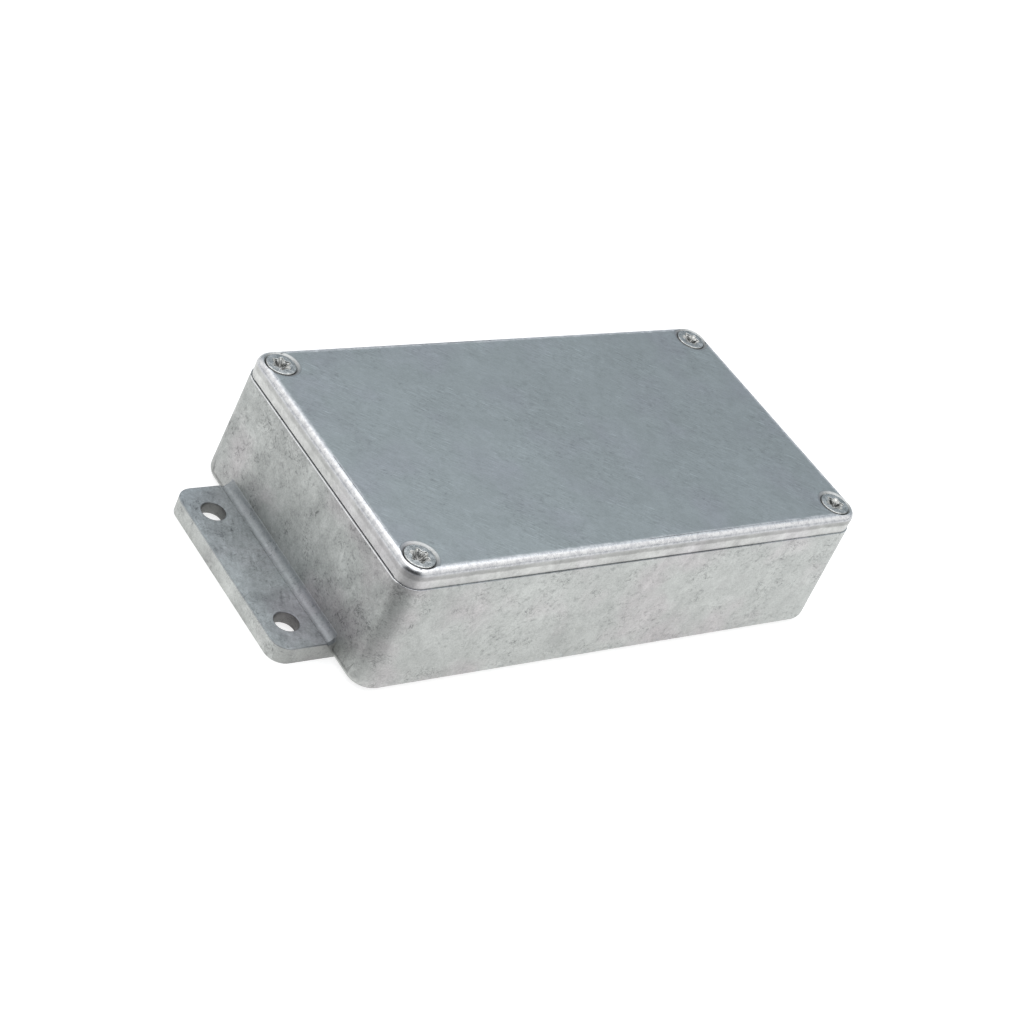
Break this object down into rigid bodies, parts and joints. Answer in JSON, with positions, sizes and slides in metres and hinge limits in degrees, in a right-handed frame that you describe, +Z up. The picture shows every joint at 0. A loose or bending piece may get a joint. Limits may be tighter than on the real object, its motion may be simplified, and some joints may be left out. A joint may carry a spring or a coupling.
{
  "type": "electronics enclosure",
  "caption": "Small die-cast aluminium box with a screwed-on lid and a drilled fixing flange at each end, for housing a circuit board.",
  "frame": {"origin": "middle of the underside of the base casting, on the plane that both flanges stand on", "axes": "+X along the box from flange to flange, +Y across it, +Z up through the lid"},
  "size_m": [0.1416, 0.0646, 0.0296],
  "materials": {
    "base_casting": "tumbled raw die casting, matt with flow marks and small pits",
    "lid_casting": "tumbled raw die casting, smoother and darker on the flat top, bright worn edges",
    "screw_steel": "bright zinc plate"
  },
  "bodies": {
    "base": {"enclosure_base": "base_casting"},
    "lid": {"lid": "lid_casting"},
    "screw_front_left": {"lid_screw_front_left": "screw_steel"},
    "screw_front_right": {"lid_screw_front_right": "screw_steel"},
    "screw_rear_left": {"lid_screw_rear_left": "screw_steel"},
    "screw_rear_right": {"lid_screw_rear_right": "screw_steel"}
  },
  "joints": [
    {"name": "lid_lift", "type": "slide", "parent": "base", "child": "lid", "axis": [0, 0, 1], "range_m": [0, 0.045]},
    {"name": "screw_front_left_out", "type": "slide", "parent": "lid", "child": "screw_front_left", "axis": [0, 0, 1], "range_m": [0, 0.013]},
    {"name": "screw_front_right_out", "type": "slide", "parent": "lid", "child": "screw_front_right", "axis": [0, 0, 1], "range_m": [0, 0.013]},
    {"name": "screw_rear_left_out", "type": "slide", "parent": "lid", "child": "screw_rear_left", "axis": [0, 0, 1], "range_m": [0, 0.013]},
    {"name": "screw_rear_right_out", "type": "slide", "parent": "lid", "child": "screw_rear_right", "axis": [0, 0, 1], "range_m": [0, 0.013]}
  ]
}
